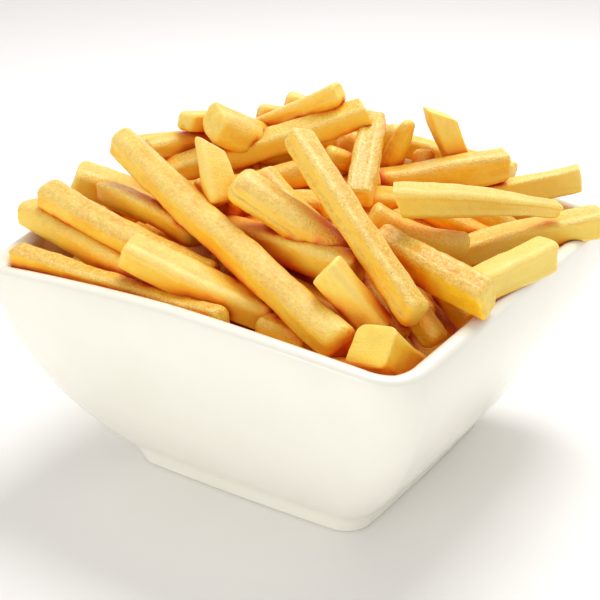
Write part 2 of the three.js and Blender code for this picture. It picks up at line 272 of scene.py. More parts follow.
# %% Blister group
blister, given, made = group_with(
    "blister",
    {"Place": ("Vector", None), "Size": ("Float", 700.0), "Wrinkles": ("Float", 1500.0)},
    {"Height": ("Float", None)},
)
drift = add_node(blister, "ShaderNodeTexNoise", Scale=500.0, Detail=2.0,
                 links=[("Vector", given.outputs["Place"])])
push = add_node(blister, "ShaderNodeVectorMath", operation="SCALE", Scale=0.0012,
                links=[(0, drift.outputs["Color"])])
moved = add_node(blister, "ShaderNodeVectorMath", operation="ADD",
                 links=[(0, given.outputs["Place"]), (1, push.outputs["Vector"])])
cells = add_node(blister, "ShaderNodeTexVoronoi", feature="SMOOTH_F1", Smoothness=0.6,
                 links=[("Vector", moved.outputs["Vector"]), ("Scale", given.outputs["Size"])])
tops = add_node(blister, "ShaderNodeMapRange", interpolation_type="SMOOTHSTEP",
                links=[("Value", cells.outputs["Distance"])])
tops.inputs["From Min"].default_value, tops.inputs["From Max"].default_value = 0.65, 0.1
fine = add_node(blister, "ShaderNodeTexNoise", Detail=3.0, Roughness=0.65,
                links=[("Vector", given.outputs["Place"]), ("Scale", given.outputs["Wrinkles"])])
height = add_node(blister, "ShaderNodeMix", Factor=0.45,
                  links=[("A", tops.outputs["Result"]), ("B", fine.outputs["Fac"])])
blister.links.new(height.outputs["Result"], made.inputs["Height"])
print("blister sockets:", [i.name for i in blister.interface.items_tree])

# %% [markdown]
# ## Glaze
# The bowl is stoneware under a warm white gloss glaze. A plain white gloss would do from afar. Close
# up the colour varies so little that it is felt more than seen, but the reflection of a light is
# never quite even, so the roughness varies a little and a very faint bump bends the highlights.
# Inside, below the lip, warm light bounced from the fries is painted into the glaze's colour, and
# there the glaze is also rougher and has no coat. An attribute that grows with the depth below the rim
# says where.

# %% Glaze material
THIN_GLAZE, POOLED_GLAZE = linear(238, 236, 222), linear(241, 239, 227)
# painted light: the warm colour of light bounced from the fries onto the inner wall
PAINTED_WARM_BOUNCE = linear(243, 196, 124)

glaze, tree, shader = new_material("warm_white_glaze", Coat_Roughness=0.06, IOR=1.5)
place = tree.nodes.new("ShaderNodeTexCoord").outputs["Object"]
pool = add_node(tree, "ShaderNodeGroup", node_tree=mottle, Patches=14.0, Specks=60.0,
                links=[("Place", place)]).outputs["Mask"]
glow = add_node(tree, "ShaderNodeAttribute", attribute_name="glow").outputs["Fac"]

colour = mix_colours(tree, THIN_GLAZE, POOLED_GLAZE, pool)
# painted light from the fries, mixed into the glaze colour below the lip
tree.links.new(mix_colours(tree, colour, PAINTED_WARM_BOUNCE, glow), shader.inputs["Base Color"])
gloss = add_node(tree, "ShaderNodeMapRange", To_Min=0.13, To_Max=0.2, links=[("Value", pool)])
tree.links.new(times_plus(tree, glow, 0.5, gloss.outputs["Result"]), shader.inputs["Roughness"])
coat = add_node(tree, "ShaderNodeMapRange", To_Min=0.15, To_Max=0.0, links=[("Value", glow)])
tree.links.new(coat.outputs["Result"], shader.inputs["Coat Weight"])
dimple = add_node(tree, "ShaderNodeBump", Strength=0.02, Distance=0.0006, links=[("Height", pool)])
tree.links.new(dimple.outputs["Normal"], shader.inputs["Normal"])
print("glaze nodes:", len(tree.nodes))

# %% [markdown]
# ## Fried crust
# A fry is pale where it was cut last and golden on its oily sides. Its upper faces get drier first:
# they blister, and the pale tips of the blisters glint. Their colour is a little darker than that of
# the sides, which is painted shade that offsets the strong light from above, and their upper edges
# get a painted pale highlight. Faces that look down get a deeper orange, also painted shade. Thin
# streaks and small flecks, some browner and some paler, run over all of it. Down between the fries
# the light has bounced from one golden side to the next, which takes out its blue and then its green,
# so the gaps turn amber and end in a deep red; here that bounced light and shade is painted into the
# colour. A renderer finds part of this by itself, but a colour that is laid on by place is easier to
# steer.
# Each mesh carries its places as attributes: grain is a place within the fry, so that no two fries
# have the same pattern, tone and crisp are one number for each fry, edge and end mark the long edges
# and the cut ends, and open says how free the air around a point is. The upright part of the
# surface's normal tells which faces look up. Some light also enters the surface, as it does in cooked
# potato.

# %% Crust colours and attributes
PALE_SIDE, GOLDEN_SIDE = linear(255, 227, 118), linear(253, 203, 34)
# colours of the upward faces, darker than the sides': painted shade against the light from above; PALE_TOP
# also colours pale streaks
PALE_TOP, GOLDEN_TOP = linear(242, 210, 110), linear(230, 178, 46)
# painted shade: the deeper orange of faces that look down
PAINTED_UNDERSIDE_SHADE = linear(250, 184, 34)
CUT_FACE = linear(253, 226, 112)
# the pale tips of blisters, and also the painted highlight on the upper edges
BLISTER_TIP_AND_HIGHLIGHT = linear(252, 232, 156)
BROWNED = linear(230, 152, 28)
# painted bounced light and shade deep in the gaps
AMBER = linear(253, 154, 12)
EMBER = linear(204, 40, 8)

crust, tree, shader = new_material(
    "fried_crust", Specular_IOR_Level=0.35, Coat_Roughness=0.28,
    Subsurface_Weight=0.4, Subsurface_Radius=(1.0, 0.7, 0.3), Subsurface_Scale=0.002)
marks = {name: add_node(tree, "ShaderNodeAttribute", attribute_name=name)
         for name in ("grain", "tone", "crisp", "edge", "end", "open")}
place = marks.pop("grain").outputs["Vector"]
tone, crisp, edge, end, openness = (node.outputs["Fac"] for node in marks.values())
facing = add_node(tree, "ShaderNodeSeparateXYZ",
                  links=[("Vector", tree.nodes.new("ShaderNodeTexCoord").outputs["Normal"])]).outputs["Z"]
print("crust reads:", ["grain", *marks], "and the normal")

# %% [markdown]
# ## Patterns on the crust
# Three patterns run over a fry: patches of a few millimetres that come from the potato itself,
# streaks that follow its length, as its fibres and the knife do, and flecks, the tips of single
# blisters. All three are the mottle group with other sizes, which is simpler than three sets of
# noises. The streaks get their length from a place that is squeezed along the fry. Beside them are
# worked out the masks for blistered and well lit places, and the mask of the upward faces, where
# painted shade and a painted highlight go.

# %% Crust patterns
long_place = add_node(tree, "ShaderNodeVectorMath", operation="MULTIPLY", links=[(0, place)])
long_place.inputs[1].default_value = (1.0, 0.4, 1.0)
PATTERNS = {
    # where, patches, specks, low, high
    "patch": (place, 170.0, 900.0, 0.38, 0.64),
    "streak": (long_place.outputs[0], 260.0, 1100.0, 0.38, 0.62),
    "fleck": (place, 900.0, 2600.0, 0.46, 0.66),
}
patch, streak, fleck = (
    add_node(tree, "ShaderNodeGroup", node_tree=mottle, Patches=patches, Specks=specks, Low=low, High=high,
             links=[("Place", where)]).outputs["Mask"]
    for where, patches, specks, low, high in PATTERNS.values())

# faces that look up: where the painted shade of the tops and the painted edge highlight go
painted_top_shading = soft_step(tree, facing, -0.1, 0.8)
blistered = times(tree, soft_step(tree, facing, -0.1, 0.6), crisp)
valleys = soft_step(tree, fleck, 0.3, 0.0)
lit = soft_step(tree, openness, 0.1, 0.6)
print("crust patterns:", list(PATTERNS))

# %% [markdown]
# ## Layers of colour
# A painter would start with the plain colour of a fry and lay thin coats over it, each in its own
# places only. So the coats are a list of colour, place and amount, and a loop mixes them in turn. A
# coat can then be moved, weakened or taken out in one line. The last three are the light of the gaps:
# golden, then amber, then a deep red.

# %% Crust layers
side = mix_colours(tree, PALE_SIDE, GOLDEN_SIDE, tone)
# the darker colour of the upward faces, painted shade against the light from above
above = mix_colours(tree, PALE_TOP, GOLDEN_TOP, tone)
layers = [
    # colour, where it lies, how much of it
    # painted shade on faces that look down
    (PAINTED_UNDERSIDE_SHADE, soft_step(tree, facing, 0.0, -0.9), 0.4),
    (side, patch, 0.5),
    (BROWNED, times(tree, soft_step(tree, streak, 0.45, 0.95), tone), 0.5),
    (PALE_TOP, soft_step(tree, streak, 0.5, 0.05), 0.4),
    (BROWNED, times(tree, valleys, blistered), 0.22),
    (BLISTER_TIP_AND_HIGHLIGHT, times(tree, fleck, blistered), 0.5),
    # painted highlight: pale upper edges of the fries
    (BLISTER_TIP_AND_HIGHLIGHT, times(tree, edge, painted_top_shading), 0.28),
    (CUT_FACE, end, 0.7),
    (GOLDEN_SIDE, soft_step(tree, openness, 1.0, 0.72), 0.5),
    (AMBER, soft_step(tree, openness, 0.86, 0.42), 0.8),
    (EMBER, soft_step(tree, openness, 0.6, 0.22), 0.9),
]
# upward faces take the darker top colour: painted shade that offsets the light from above
colour = mix_colours(tree, side, above, painted_top_shading)
for paint, where, amount in layers:
    colour = mix_colours(tree, colour, paint, where, amount)
tree.links.new(colour, shader.inputs["Base Color"])
print("crust layers:", len(layers))

# %% [markdown]
# ## Gloss and relief
# Oil makes a fresh fry glint, most of all on its blisters, while a gap has no lamp to mirror. So the
# roughness and the clear coat follow how open a place is, and the blisters grow with how crisp the
# fry is. So fine a relief would need millions of faces as a mesh, and a bump looks the same.

# %% Crust surface
oily = add_node(tree, "ShaderNodeMapRange", To_Min=0.75, To_Max=0.42, links=[("Value", lit)])
tree.links.new(oily.outputs["Result"], shader.inputs["Roughness"])
sheen = times(tree, times_plus(tree, blistered, 0.3, 0.08), lit)
tree.links.new(sheen, shader.inputs["Coat Weight"])
bubble = add_node(tree, "ShaderNodeGroup", node_tree=blister, Size=1500.0, Wrinkles=3200.0,
                  links=[("Place", place)]).outputs["Height"]
relief = times(tree, bubble, times_plus(tree, blistered, 0.6, 0.12))
bump = add_node(tree, "ShaderNodeBump", Strength=1.0, Distance=0.0006, links=[("Height", relief)])
tree.links.new(bump.outputs["Normal"], shader.inputs["Normal"])
print("crust nodes:", len(tree.nodes))

# %% [markdown]
# ## The bowl
# The bowl is slip-cast: a rounded square that grows from a low foot to a wide rim, with sides that
# bow out and arch up between dipped corners. It could be a cube with a subdivision modifier, but then
# its sizes would be hard to hold. So it is a stack of outlines, each a rounded square of its own size
# and height, joined by rows of faces. The sizes are those of the plain model, and the number of steps
# is higher. Only the foot differs: here it runs softly into the wall.

# %% Sizes and outlines of the bowl
RIM_HALF, RIM_BULGE, RIM_CORNER, RIM_LEVEL, RIM_ARCH, ARCH_SHAPE = 70, 2.8, 13.4, 68.7, 5.4, 1.67
WALL_THICK, LIP_HIGH, WALL_BELLY, WALL_RISE = 5, 1.8, 1.9, 1.08
BASE_HALF, BASE_CORNER = 39.7, 6.6
FOOT_HALF, FOOT_CORNER, FOOT_BULGE, FOOT_HIGH, FOOT_EDGE = 40.5, 8.2, 0.5, 3.7, 0.8
FOOT_DRAFT, FOOT_RING, RECESS, RECESS_MIDDLE = 0.2, 5, 1.8, 9
FLOOR_LEVEL, FLOOR_HALF, FLOOR_CORNER = 8.8, 37.7, 6
SWELL, SWELL_HALF = 0.3, 20
FLARE_CLIMB, FLARE_OUT, FLARE_LEVEL, FLARE_STEPS = 0.2, 1.1, 5.5, 7   # the foot runs softly into the wall
LIP_LEVEL = RIM_LEVEL - LIP_HIGH
OUTER_FOOT = {"half": BASE_HALF, "corner": BASE_CORNER, "level": FOOT_HIGH}
OUTER_RIM = {"half": RIM_HALF, "corner": RIM_CORNER, "level": LIP_LEVEL}
INNER_FOOT = {"half": FLOOR_HALF, "corner": FLOOR_CORNER, "level": FLOOR_LEVEL}
INNER_RIM = {"half": RIM_HALF - WALL_THICK, "corner": RIM_CORNER - WALL_THICK, "level": LIP_LEVEL}
SIDE_STEPS, CORNER_STEPS, WALL_STEPS, LIP_STEPS, FOOT_STEPS = 22, 12, 26, 10, 4


def square_ring(half, corner, level, bulge=FOOT_BULGE, arch=0.0):
    """A rounded square with sides that bow out, arched up between its corners."""
    straight = half - corner
    along = np.linspace(-1, 1, SIDE_STEPS, endpoint=False)
    bend = np.linspace(-math.pi / 2, 0, CORNER_STEPS, endpoint=False)
    x = np.concatenate([along * straight, straight + corner * np.cos(bend)])
    y = np.concatenate([-half - bulge * (1 - along ** 2), -straight + corner * np.sin(bend)])
    share = np.minimum(abs(x), abs(y)) / half
    z = level + arch * (1 - share ** ARCH_SHAPE)
    quarters = [(x, y), (-y, x), (-x, -y), (y, -x)]
    return np.concatenate([np.column_stack([a, b, z]) for a, b in quarters])


def wall_ring(foot, rim, climb, grow=0.0):
    """One outline of a wall. climb is 0 at the foot and 1 at the rim."""
    angle = climb * math.pi / 2
    reach = math.sin(angle) ** WALL_BELLY
    rise = 1 - abs(math.cos(angle)) ** WALL_RISE
    between = lambda key, share: foot[key] + (rim[key] - foot[key]) * share
    return square_ring(
        between("half", reach) + grow, between("corner", reach) + grow, between("level", rise),
        bulge=FOOT_BULGE + (RIM_BULGE - FOOT_BULGE) * reach, arch=RIM_ARCH * climb ** 2)


def tube_faces(rows, count):
    """Four-sided faces between closed rows of points, and a fan over each end. The two middles come last."""
    row, i = np.arange(rows - 1)[:, None] * count, np.arange(count)[None, :]
    j = (i + 1) % count
    faces = np.stack([row + i, row + j, row + count + j, row + count + i], axis=-1).reshape(-1, 4).tolist()
    last_row = (rows - 1) * count
    for a, b in zip(i[0].tolist(), j[0].tolist()):
        faces.append([b, a, rows * count])
        faces.append([last_row + a, last_row + b, rows * count + 1])
    return faces


def join_rings(rings):
    """The points of closed outlines, with a middle for each end, and the faces that join them."""
    points = np.concatenate([*rings, rings[0].mean(axis=0)[None], rings[-1].mean(axis=0)[None]])
    return points, tube_faces(len(rings), len(rings[0]))


def join_meshes(meshes):
    """One list of points and one of faces from several."""
    points, faces, base = [], [], 0
    for spots, sides in meshes:
        points.append(spots)
        faces += [[i + base for i in side] for side in sides]
        base += len(spots)
    return np.concatenate(points), faces


print("rim of the plain model:", wall_ring(OUTER_FOOT, OUTER_RIM, 1).max(axis=0).round(1))

# %% Bowl
def bowl_rings():
    """From the hollow under the foot, up the outside, over the lip and down to the floor inside."""
    foot = lambda half, level: square_ring(half, FOOT_CORNER, level)
    rings = [foot(half, RECESS - SWELL) for half in (RECESS_MIDDLE, SWELL_HALF)]
    rings += [foot(FOOT_HALF - FOOT_RING - RECESS, RECESS), foot(FOOT_HALF - FOOT_RING, 0)]
    turned = [foot(FOOT_HALF - FOOT_DRAFT - FOOT_EDGE * (1 - math.sin(t)), FOOT_EDGE * (1 - math.cos(t)))
              for t in np.linspace(0, math.pi / 2, FOOT_STEPS)]
    rings += turned
    wall = [wall_ring(OUTER_FOOT, OUTER_RIM, climb) for climb in np.linspace(FLARE_CLIMB, 1, WALL_STEPS)]
    bend = foot(FOOT_HALF + FLARE_OUT, FLARE_LEVEL)
    for t in np.linspace(0, 1, FLARE_STEPS)[1:-1]:
        rings.append(turned[-1] * (1 - t) ** 2 + bend * 2 * t * (1 - t) + wall[0] * t ** 2)
    rings += wall
    for turn in np.linspace(0, math.pi, LIP_STEPS)[1:-1]:
        inset = WALL_THICK / 2 * (1 - math.cos(turn))
        level = LIP_LEVEL + LIP_HIGH * math.sin(turn)
        rings.append(square_ring(RIM_HALF - inset, RIM_CORNER - inset, level, RIM_BULGE, RIM_ARCH))
    rings += [wall_ring(INNER_FOOT, INNER_RIM, climb) for climb in np.linspace(1, 0, WALL_STEPS)]
    rings.append(square_ring(SWELL_HALF, FLOOR_CORNER, FLOOR_LEVEL + SWELL))
    return rings


# where the painted light of the fries begins, and how far down it reaches its full strength
PAINTED_LIGHT_START, PAINTED_LIGHT_DEPTH = 0.8, 1.8   # above the lip's inner edge, and from there down to the full tint


def inner_glow(rings):
    """The painted light of the fries on the inner wall: how deep below the rim each point lies, from 0 to 1,
    and 0 outside.
    """
    rim = rings[-WALL_STEPS - 1][:, 2]
    inner = [np.clip((rim - ring[:, 2] + PAINTED_LIGHT_START) / PAINTED_LIGHT_DEPTH, 0, 1) for ring in rings[-WALL_STEPS - 1:]]
    outer = [rim * 0] * (len(rings) - len(inner))
    return np.concatenate([*outer, *inner, [0, 1]])


rings = bowl_rings()
bowl_mesh = join_rings(rings)
make_piece("bowl_glazed", *bowl_mesh, glaze, "bowl", "glaze", glow=inner_glow(rings))

# %% [markdown]
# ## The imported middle
# Under the loose fries lies a body that fills the bowl and rises in a flat dome. On the real heap
# this is just more fries. It could be left out, but then the deepest gaps would end in a hollow. So
# it stays, as a stack of outlines too, sunk a few millimetres below the plain model's core to make
# room for more fries, and it wears their crust. Its mesh is made into a piece further on, together
# with theirs.

# %% Heap surface and packed middle
HEAP_TURN = math.radians(33)
HEAP_EDGE, HEAP_RISE, HEAP_REACH, HEAP_SQUARE = 66, 34, 68, 3
CORE_DEPTH, CORE_GAP, CORE_SINK, CORE_ROUND = 15, 0.7, 4, 0.3
CORE_CLIMB, CORE_STEPS, CORE_SPACING = 0.74, 8, 6   # how far it goes up the wall, and its outlines


def heap_surface(x, y):
    """Height of the heap above a point of the bowl."""
    reach = abs(x / HEAP_REACH) ** HEAP_SQUARE + abs(y / HEAP_REACH) ** HEAP_SQUARE
    return HEAP_EDGE + HEAP_RISE * (1 - reach ** (2 / HEAP_SQUARE))


def in_bowl(place):
    """A place in the heap's own directions, across, back and up, as a point of the bowl."""
    across, away, up = np.moveaxis(np.asarray(place, dtype=float), -1, 0)
    c, s = math.cos(HEAP_TURN), math.sin(HEAP_TURN)
    return np.stack([across * c - away * s, across * s + away * c, up], axis=-1)


def core_rings():
    """Up along the wall as far as the shoulder, and then inward over the dome."""
    floor = {**INNER_FOOT, "level": FLOOR_LEVEL + CORE_GAP}
    climbs = np.linspace(0, CORE_CLIMB, CORE_STEPS)
    rings = [wall_ring(floor, INNER_RIM, climb, -CORE_GAP) for climb in climbs]
    shoulder = rings[-1][:, 2].max()
    for half in range(60, 0, -CORE_SPACING):
        ring = square_ring(half, CORE_ROUND * half, 0)
        ring[:, 2] = np.maximum(heap_surface(ring[:, 0], ring[:, 1]) - CORE_DEPTH - CORE_SINK, shoulder)
        rings.append(ring)
    return rings


core_mesh = join_rings(core_rings())
print("packed middle:", len(core_mesh[0]), "points, top at", core_mesh[0][:, 2].max().round(1), "mm")

# %% [markdown]
# ## How one fry is shaped
# A fry starts as a square stick of potato. Cutting leaves its ends flat or slanted, and frying rounds
# its edges, sinks its faces a little, bends it and lifts its skin. A cube with modifiers gives good
# sticks that all look alike. So each fry is a rounded square section, set at many stations along a
# slightly bent line. Small random numbers change the size, twist and bend along it, and a smooth
# noise moves every point in or out. All random numbers have a fixed seed, so the same heap comes out
# each time.

# %% Smooth noise for arrays
NOISE_TURN = np.array(Matrix.Rotation(0.9, 3, Vector((0.5, 0.7, 0.3))))


def smooth_noise(points, size, seed):
    """A value from -1 to 1 at each point. Its bumps are about size wide and lie in no one direction."""
    spot = points @ NOISE_TURN / size + seed * 17.31
    cell = np.floor(spot).astype(np.int64)
    part = spot - cell
    part = part * part * (3 - 2 * part)
    total = np.zeros(len(points))
    for corner in np.ndindex(2, 2, 2):
        at = cell + corner
        mixed = (at[:, 0] * 73856093) ^ (at[:, 1] * 19349663) ^ (at[:, 2] * 83492791)
        mixed = (mixed ^ (mixed >> 13)) * 1274126177 & 0x7FFFFFFF
        mixed = (mixed ^ (mixed >> 11)) * 668265263 & 0x7FFFFFFF
        weight = np.prod(np.where(corner, part, 1 - part), axis=1)
        total += weight * (mixed / 0x3FFFFFFF - 1)
    return total


sample = smooth_noise(np.random.default_rng(1).uniform(0, 50, (4000, 3)), 3.0, 5)
print("noise from", sample.min().round(2), "to", sample.max().round(2))

# %% Sections and stations of a fry
def fry_section(side_points, corner_points, corners):
    """A square from -1 to 1 with rounded corners: its points, their outward normals, and how near each
    is to an edge."""
    spots, normals, edges = [], [], []
    for quarter, corner in enumerate(corners):
        c, s = math.cos(quarter * math.pi / 2), math.sin(quarter * math.pi / 2)
        for t in np.linspace(corners[quarter - 1] - 1, 1 - corner, side_points, endpoint=False):
            spots.append((c * t + s, s * t - c))
            normals.append((s, -c))
            edges.append(min(1, abs(t) + 0.15) ** 6)
        for t in np.linspace(-math.pi / 2, 0, corner_points, endpoint=False):
            x, y = 1 - corner + corner * math.cos(t), corner - 1 + corner * math.sin(t)
            spots.append((c * x - s * y, s * x + c * y))
            normals.append((c * math.cos(t) - s * math.sin(t), s * math.cos(t) + c * math.sin(t)))
            edges.append(1)
    return np.array(spots), np.array(normals), np.array(edges, dtype=float)


def fry_stations(length, spacing, rounding):
    """Rows from the middle of one end face to that of the other: how far along the fry, the inset from
    its sides, the size within the end face, and how much of an end a row is."""
    face = np.array([0.3, 0.6, 0.85])
    turn = np.linspace(0, math.pi / 2, 5)
    fade = np.array([1, 1, 1, 0.8, 0.6, 0.4, 0.2, 0.1])
    first, last = ([r * (1 - np.sin(turn)), r * (1 - np.cos(turn))] for r in rounding)
    body = np.linspace(rounding[0], length - rounding[1], max(3, int(length / spacing)))[1:-1]
    reach = np.concatenate(
        [face * 0, np.sort(first[0]), body, length - np.sort(last[0])[::-1], face * 0 + length])
    inset = np.concatenate(
        [face * 0 + rounding[0], np.sort(first[1])[::-1], body * 0, np.sort(last[1]), face * 0 + rounding[1]])
    size = np.concatenate([face, np.ones(len(body) + 10), face[::-1]])
    ends = np.concatenate([fade, body * 0, fade[::-1]])
    return reach, inset, size, ends


def fry_axes(fry):
    """Where a fry starts, its length, and its directions along, across and up."""
    start, finish = in_bowl(fry["from"]), in_bowl(fry["to"])
    along = finish - start
    length = np.linalg.norm(along)
    along /= length
    across = np.cross((0, 0, 1), along)
    across /= np.linalg.norm(across)
    up = np.cross(along, across)
    c, s = math.cos(math.radians(fry.get("roll", 0))), math.sin(math.radians(fry.get("roll", 0)))
    return start, length, along, across * c + up * s, up * c - across * s


print("points in a section:", len(fry_section(4, 4, (0.5,) * 4)[0]))
print("rows in a 60 mm fry:", len(fry_stations(60, 1.05, (1, 1))[0]))

# %% [markdown]
# ## No two fries alike
# No knife is quite square and no potato quite even. The first numbers say how far a fry may stray
# from a straight stick: how askew its cuts are, how much it twists and sways, and how wide its dents,
# bumps and blisters are. Three short functions use them. Modifiers with noise textures could do some
# of it, but they would treat the ends and the middle alike.

# %% How uneven a fry is
FRY_SEED = 4200
ANY_CRISP, ANY_TONE, ANY_SOFT = (0.2, 0.9), (0.4, 0.95), (0.6, 0.85)   # for fries that name none
ANY_ROUND = [1.0, 1.6, 2.2, 2.8]
STATION_GAP, SECTION_POINTS = 1.05, 4
CORNER_VARIES, CORNER_LIMITS = 0.2, (0.16, 0.9)
SKEW, SUNK, ASKEW, TWIST, SWAY, KINK = 0.14, (-0.15, 0.4), 1.2, 7, 0.9, 0.35
DENT_WIDE, BUMP_WIDE, BLISTER_WIDE, RAG_WIDE = 7.5, 2.6, 1.3, 2.1


def cut_ends(fry, chance, side, top, length, share):
    """How far along the fry each point lies. Its ends are cut a little askew, and a cut only takes away."""
    cuts = []
    for given_cut in fry.get("cuts", ((0, 0), (0, 0))):
        askew = np.array(given_cut, dtype=float) + chance.uniform(-ASKEW, ASKEW, 2)
        lean = askew[0] * side / fry["wide"] + askew[1] * top / fry["thick"]
        cuts.append(lean + abs(askew).sum() / 2 * 0.9)
    return cuts[0] + (length - cuts[0] - cuts[1]) * share[:, None]


def make_crooked(chance, side, top, length, share, wave):
    """Twists and bends a stick a little along its length."""
    twist = math.radians(chance.uniform(-TWIST, TWIST)) * (share - 0.5)
    c, s = np.cos(twist)[:, None], np.sin(twist)[:, None]
    side, top = side * c - top * s, side * s + top * c
    arc = 4 * share * (1 - share)
    sway = chance.uniform(-SWAY, SWAY, 2) * min(1.5, length / 45)
    kink = KINK * smooth_noise(wave, 20.0, 8) * arc
    return side + (sway[0] * arc + kink)[:, None], top + (sway[1] * arc - kink)[:, None]


def skin_lift(points, own, crisp, end, ragged, number):
    """How far the skin is lifted at each point: wide dents, bumps, blisters and ragged ends."""
    lift = 0.3 * smooth_noise(points, DENT_WIDE, number)
    lift = lift + (0.07 + 0.08 * crisp) * smooth_noise(points, BUMP_WIDE, number + 9)
    lift += (0.015 + 0.085 * crisp) * smooth_noise(own * (0.7, 1, 0.7), BLISTER_WIDE, number + 5)
    lift += end * ragged * smooth_noise(points, RAG_WIDE, number + 21)
    return lift


print("seed of the fries:", FRY_SEED)

# %% [markdown]
# ## One fry from end to end
# Now the steps come together. A straight stick is made from its section and stations, its ends are
# cut, it is bent and set in its place, and its skin is lifted. Along the way each point is told what
# it will mean to the crust material.

# %% One fry
def shape_fry(fry, number, fine=1.0):
    """Points, faces, attributes, outward directions, and the numbers of rows and of points in a row."""
    chance = np.random.default_rng(FRY_SEED + number)
    start, length, along, across, up = fry_axes(fry)
    crisp = fry.get("crisp", chance.uniform(*ANY_CRISP))
    tone = fry.get("tone", chance.uniform(*ANY_TONE))
    soft = fry.get("soft", chance.uniform(*ANY_SOFT))
    corners = np.clip(soft + chance.uniform(-CORNER_VARIES, CORNER_VARIES, 4), *CORNER_LIMITS)
    spots, normals, edges = fry_section(int(SECTION_POINTS * fine), int(SECTION_POINTS * fine), corners)
    rounding = fry.get("round", tuple(chance.choice(ANY_ROUND, 2)))
    reach, inset, size, ends = fry_stations(length, STATION_GAP / fine, rounding)
    count, rows = len(spots), len(reach)
    share = reach / length

    # a straight stick whose width varies along it
    wave = np.column_stack([reach, reach * 0 + number * 3.7, reach * 0])
    narrow = 1 - (1 - fry.get("taperFrom", 1)) * (1 - share) ** 2 - (1 - fry.get("taperTo", 1)) * share ** 2
    uneven = lambda seed: (0.945 + 0.07 * smooth_noise(wave, 17.0, seed)
                           + 0.03 * smooth_noise(wave, 6.0, seed + 4))
    wide = fry["wide"] / 2 * narrow * uneven(1)
    thick = fry["thick"] / 2 * narrow * uneven(2)
    side = spots[None, :, 0] * (wide - inset)[:, None] * size[:, None]
    top = spots[None, :, 1] * (thick - inset)[:, None] * size[:, None]
    skew = chance.uniform(-SKEW, SKEW, 2) * min(1, 1.6 * soft)
    side, top = side * (1 - abs(skew[0])) + skew[0] * top, top * (1 - abs(skew[1])) + skew[1] * side
    sunk = chance.uniform(*SUNK, 4).repeat(count // 4) * (1 - edges)
    sunk = sunk[None, :] * (ends < 1)[:, None]
    side, top = side - normals[None, :, 0] * sunk, top - normals[None, :, 1] * sunk

    # the stick is cut, bent and set in its place
    run = cut_ends(fry, chance, side, top, length, share)
    side, top = make_crooked(chance, side, top, length, share, wave)
    bow = fry.get("bow", 0) * (4 * share * (1 - share))
    middle = start[None, :] + np.array([0, 0, 1]) * bow[:, None]
    points = (middle[:, None, :] + run[..., None] * along + side[..., None] * across + top[..., None] * up)
    out = normals[:, 0, None] * across + normals[:, 1, None] * up
    outward = out[None] * (1 - ends)[:, None, None]
    outward += along * (ends * np.where(share < 0.5, -1, 1))[:, None, None]

    # the middles of the two ends come last
    points, outward = points.reshape(-1, 3), outward.reshape(-1, 3)
    points = np.concatenate([points, [points[:count].mean(axis=0), points[-count:].mean(axis=0)]])
    outward = np.concatenate([outward, [-along, along]])
    end = np.concatenate([np.repeat(ends, count), [1, 1]])
    own = np.column_stack([np.append(side, [0, 0]), np.append(run, [0, length]), np.append(top, [0, 0])])
    ragged = fry.get("ragged", (0.3, 0.3))
    ragged = np.append(np.repeat(np.where(share < 0.5, *ragged), count), ragged)
    lift = skin_lift(points, own, crisp, end, ragged, number)
    points = points + outward * (lift - 0.15)[:, None]

    edge = np.append(np.tile(edges, rows), [0, 0]) * (end < 0.9)
    edge = np.maximum(edge, 1 - abs(end - 0.5) * 2)
    same = np.ones(len(points))
    marks = {"grain": (own + number * 31.7) * MM, "tone": tone * same, "crisp": crisp * same,
             "edge": edge, "end": end}
    return points, tube_faces(rows, count), marks, outward, (rows, count)


trial = shape_fry({"from": (0, 0, 90), "to": (60, 0, 90), "wide": 10, "thick": 10}, 1)
print("a 60 mm fry has", len(trial[0]), "points and", sum(len(f) - 2 for f in trial[1]), "triangles")

# %% [markdown]
# ## Keeping fries out of the wall
# A fry leans on the wall or on the lip, and never goes into it. A physics run could press the two
# together, but a rule for each point is quicker and exact: a point that would lie inside the ceramic
# is moved to the nearer of two places, inward to the wall's inner face, or up to the top of the lip.
# This dents the fry by a millimetre or two, as its soft middle would.

# %% Keep clear of the bowl
FRY_GAP = 0.35


